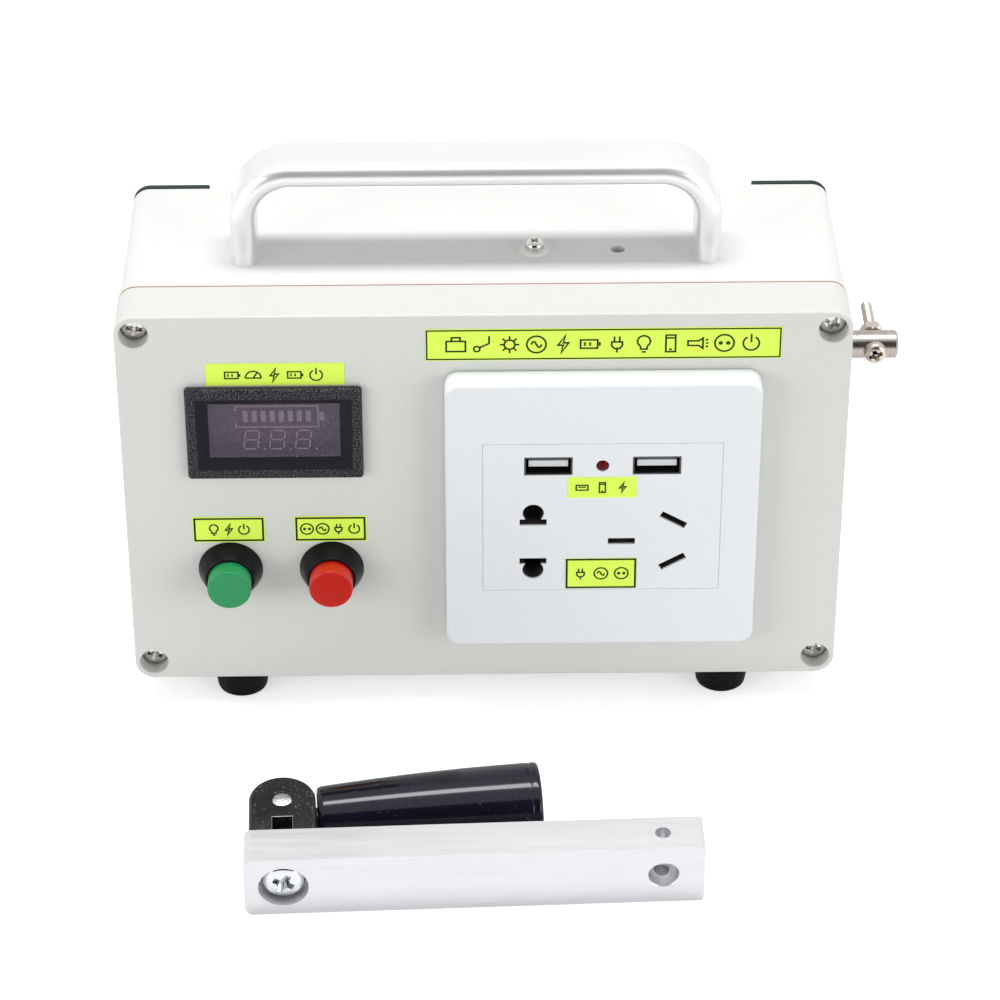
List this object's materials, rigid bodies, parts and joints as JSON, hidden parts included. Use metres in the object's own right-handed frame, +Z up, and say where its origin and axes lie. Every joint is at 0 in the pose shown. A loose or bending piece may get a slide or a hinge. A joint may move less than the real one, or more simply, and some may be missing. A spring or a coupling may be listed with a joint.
{
  "type": "hand crank generator",
  "caption": "Boxed hand generator with a carrying handle, battery meter, push switches, USB and mains outlets, and a loose crank with a folding grip.",
  "frame": {"origin": "on the floor, at the centre of the footprint that the case and the crank lying in front of it take up together", "axes": "+X to the right, the side the drive shaft comes out of; +Y to the back; +Z up. The panel faces -Y"},
  "size_m": [0.2186, 0.173, 0.158],
  "materials": {
    "lid_plastic": "fine satin, moulded",
    "case_plastic": "fine satin, moulded",
    "seal_rubber": "matt",
    "screw_steel": "nickel plated",
    "handle_aluminium": "satin anodised",
    "foot_rubber": "matt",
    "pad_rubber": "matt",
    "washer_nylon": "satin",
    "bezel_plastic": "fine grain",
    "window_plastic": "smoked, glossy",
    "display_face": "dull",
    "switch_plastic": "satin",
    "green_plastic": "satin gloss",
    "red_plastic": "satin gloss",
    "spring_steel": "drawn wire",
    "plate_plastic": "glossy",
    "housing_plastic": "satin",
    "port_steel": "tin plated",
    "port_plastic": "satin",
    "circuit_board": "solder resist",
    "led_plastic": "clear red, unlit",
    "contact_brass": "plain",
    "label_film": "printed film",
    "gearbox_metal": "turned",
    "bearing_steel": "ground",
    "gear_steel": "cut",
    "shaft_steel": "turned",
    "bolt_steel": "zinc plated",
    "core_iron": "stacked sheets",
    "can_steel": "drawn",
    "magnet_ferrite": "matt",
    "tray_plastic": "satin",
    "cell_sleeve": "shrink film",
    "coil_wrap": "tape",
    "capacitor_sleeve": "shrink film",
    "lens_plastic": "clear, glossy",
    "lamp_panel": "white",
    "crank_aluminium": "brushed",
    "clevis_metal": "blackened",
    "pin_steel": "plain, riveted",
    "spindle_steel": "blackened",
    "grip_plastic": "polished"
  },
  "bodies": {
    "generator_box": {"front_lid": "lid_plastic", "rear_case": "case_plastic", "lid_gasket": "seal_rubber", "lid_screws": "screw_steel", "carry_handle": "handle_aluminium", "handle_screws": "screw_steel", "rubber_feet": "foot_rubber", "corner_pads": "pad_rubber", "top_screw": "screw_steel", "top_washer": "washer_nylon", "meter_bezel": "bezel_plastic", "meter_window": "window_plastic", "meter_display": "display_face", "green_switch_body": "switch_plastic", "green_switch_nut": "switch_plastic", "green_button_spring": "spring_steel", "red_switch_body": "switch_plastic", "red_switch_nut": "switch_plastic", "red_button_spring": "spring_steel", "socket_plate": "plate_plastic", "socket_housing": "housing_plastic", "socket_screws": "screw_steel", "usb_ports": "port_steel", "usb_tongues": "port_plastic", "usb_board": "circuit_board", "charge_led": "led_plastic", "socket_contacts": "contact_brass", "panel_labels": "label_film", "gearbox_face": "gearbox_metal", "shaft_bearing": "bearing_steel", "gearbox_ring": "gear_steel", "gearbox_screws": "screw_steel", "generator_can": "can_steel", "generator_magnets": "magnet_ferrite", "generator_end_cap": "tray_plastic", "battery_tray": "tray_plastic", "battery_cells": "cell_sleeve", "inverter_board": "circuit_board", "inverter_transformer": "coil_wrap", "inverter_capacitors": "capacitor_sleeve", "lamp_lens": "lens_plastic", "lamp_board": "lamp_panel"},
    "drive_shaft": {"crank_shaft": "shaft_steel", "cross_bolt": "bolt_steel", "cross_nut": "bolt_steel"},
    "planet_1": {"planet_gear_1": "gear_steel"},
    "planet_2": {"planet_gear_2": "gear_steel"},
    "planet_3": {"planet_gear_3": "gear_steel"},
    "rotor": {"rotor_shaft": "gear_steel", "rotor_core": "core_iron"},
    "lamp_button": {"green_button": "green_plastic"},
    "outlet_button": {"red_button": "red_plastic"},
    "crank": {"crank_arm": "crank_aluminium", "clevis_screw": "screw_steel", "handle_clevis": "clevis_metal", "fold_pin": "pin_steel"},
    "spindle": {"grip_spindle": "spindle_steel", "grip_screw": "screw_steel"},
    "grip": {"grip_sleeve": "grip_plastic"}
  },
  "joints": [
    {"name": "drive_spin", "type": "hinge", "parent": "generator_box", "child": "drive_shaft", "pos_m": [-0.00825, 0.05002, 0.0943], "axis": [1, 0, 0], "continuous": true},
    {"name": "planet_1_spin", "type": "hinge", "parent": "drive_shaft", "child": "planet_1", "pos_m": [-0.00825, 0.06082, 0.0943], "axis": [1, 0, 0], "continuous": true},
    {"name": "planet_2_spin", "type": "hinge", "parent": "drive_shaft", "child": "planet_2", "pos_m": [-0.00825, 0.04462, 0.10365], "axis": [1, 0, 0], "continuous": true},
    {"name": "planet_3_spin", "type": "hinge", "parent": "drive_shaft", "child": "planet_3", "pos_m": [-0.00825, 0.04462, 0.08495], "axis": [1, 0, 0], "continuous": true},
    {"name": "rotor_spin", "type": "hinge", "parent": "generator_box", "child": "rotor", "pos_m": [-0.00825, 0.05002, 0.0943], "axis": [1, 0, 0], "continuous": true},
    {"name": "lamp_button_press", "type": "slide", "parent": "generator_box", "child": "lamp_button", "axis": [0, 1, 0], "range_m": [0, 0.003], "stiffness_N_per_m": 400, "springref_m": -0.002, "deforming": ["green_button_spring"]},
    {"name": "outlet_button_press", "type": "slide", "parent": "generator_box", "child": "outlet_button", "axis": [0, 1, 0], "range_m": [0, 0.003], "stiffness_N_per_m": 400, "springref_m": -0.002, "deforming": ["red_button_spring"]},
    {"name": "crank_lift", "type": "slide", "parent": "generator_box", "child": "crank", "axis": [0, 0, 1], "range_m": [0, 0.25]},
    {"name": "grip_fold", "type": "hinge", "parent": "crank", "child": "spindle", "pos_m": [-0.06359, -0.06068, 0.01168], "axis": [0.0028, -0.079, 0.9969], "range_deg": [-3, 87]},
    {"name": "grip_spin", "type": "hinge", "parent": "spindle", "child": "grip", "pos_m": [-0.06359, -0.06068, 0.01168], "axis": [0.9962, 0.087, 0.0041], "continuous": true}
  ],
  "couplings": [
    {"joint": "drive_spin", "follows": "rotor_spin", "ratio": 0.22222},
    {"joint": "planet_1_spin", "follows": "rotor_spin", "ratio": -0.62222},
    {"joint": "planet_2_spin", "follows": "rotor_spin", "ratio": -0.62222},
    {"joint": "planet_3_spin", "follows": "rotor_spin", "ratio": -0.62222}
  ]
}
